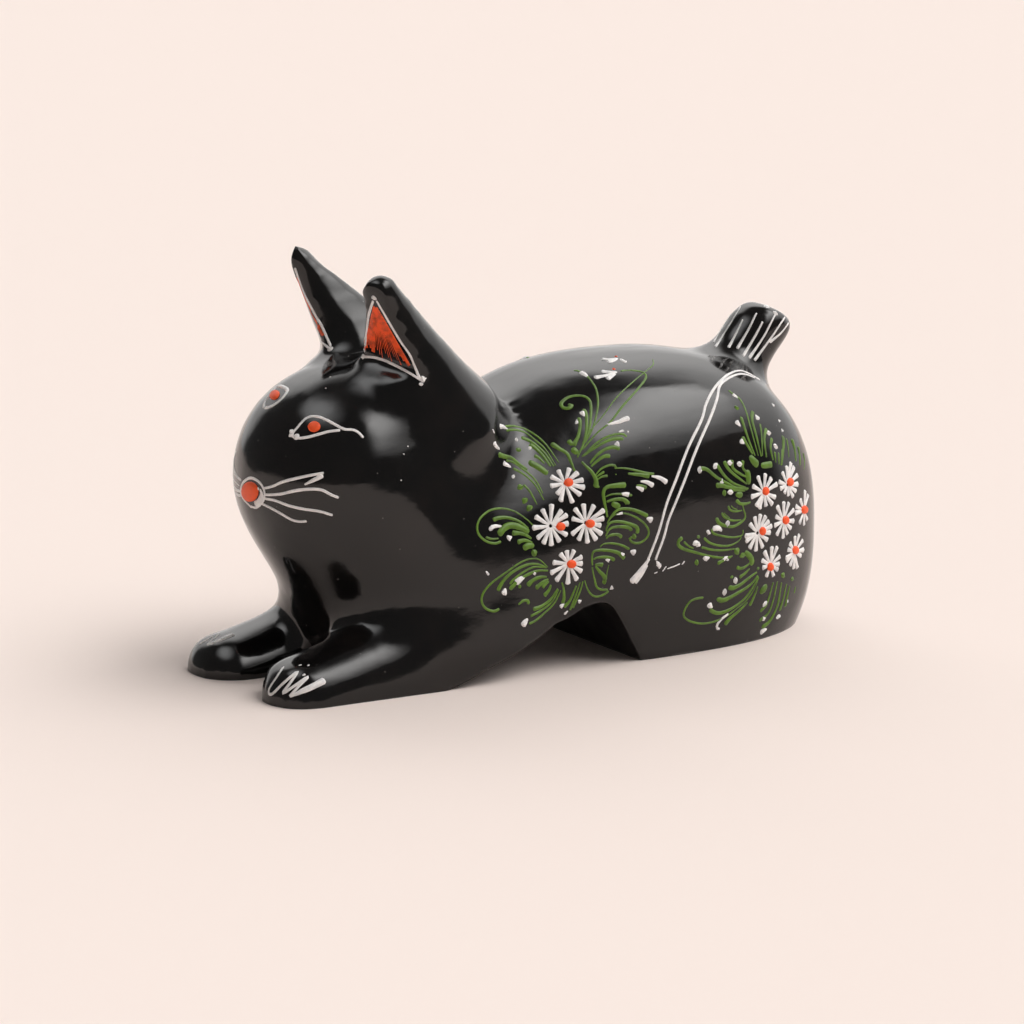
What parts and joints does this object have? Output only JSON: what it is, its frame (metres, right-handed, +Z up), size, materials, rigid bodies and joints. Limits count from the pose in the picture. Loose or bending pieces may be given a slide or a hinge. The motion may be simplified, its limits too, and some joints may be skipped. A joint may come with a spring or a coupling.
{
  "type": "wooden cat statuette",
  "caption": "Small lying cat carved from one block of wood, lacquered black and hand painted with flower sprays; stands by its own weight on its flat underside.",
  "frame": {"origin": "middle of the resting underside, on the surface that the cat stands on", "axes": "+X to the cat's left, +Y towards its rump (the face looks along -Y), +Z up"},
  "size_m": [0.0424, 0.0956, 0.0583],
  "materials": {
    "black_lacquered_wood": "glossy black lacquer over carved wood",
    "white_paint": "thick white hand paint",
    "green_paint": "thick leaf green hand paint",
    "orange_paint": "orange red hand paint"
  },
  "bodies": {
    "root": {"carved_cat": "black_lacquered_wood"}
  },
  "joints": []
}
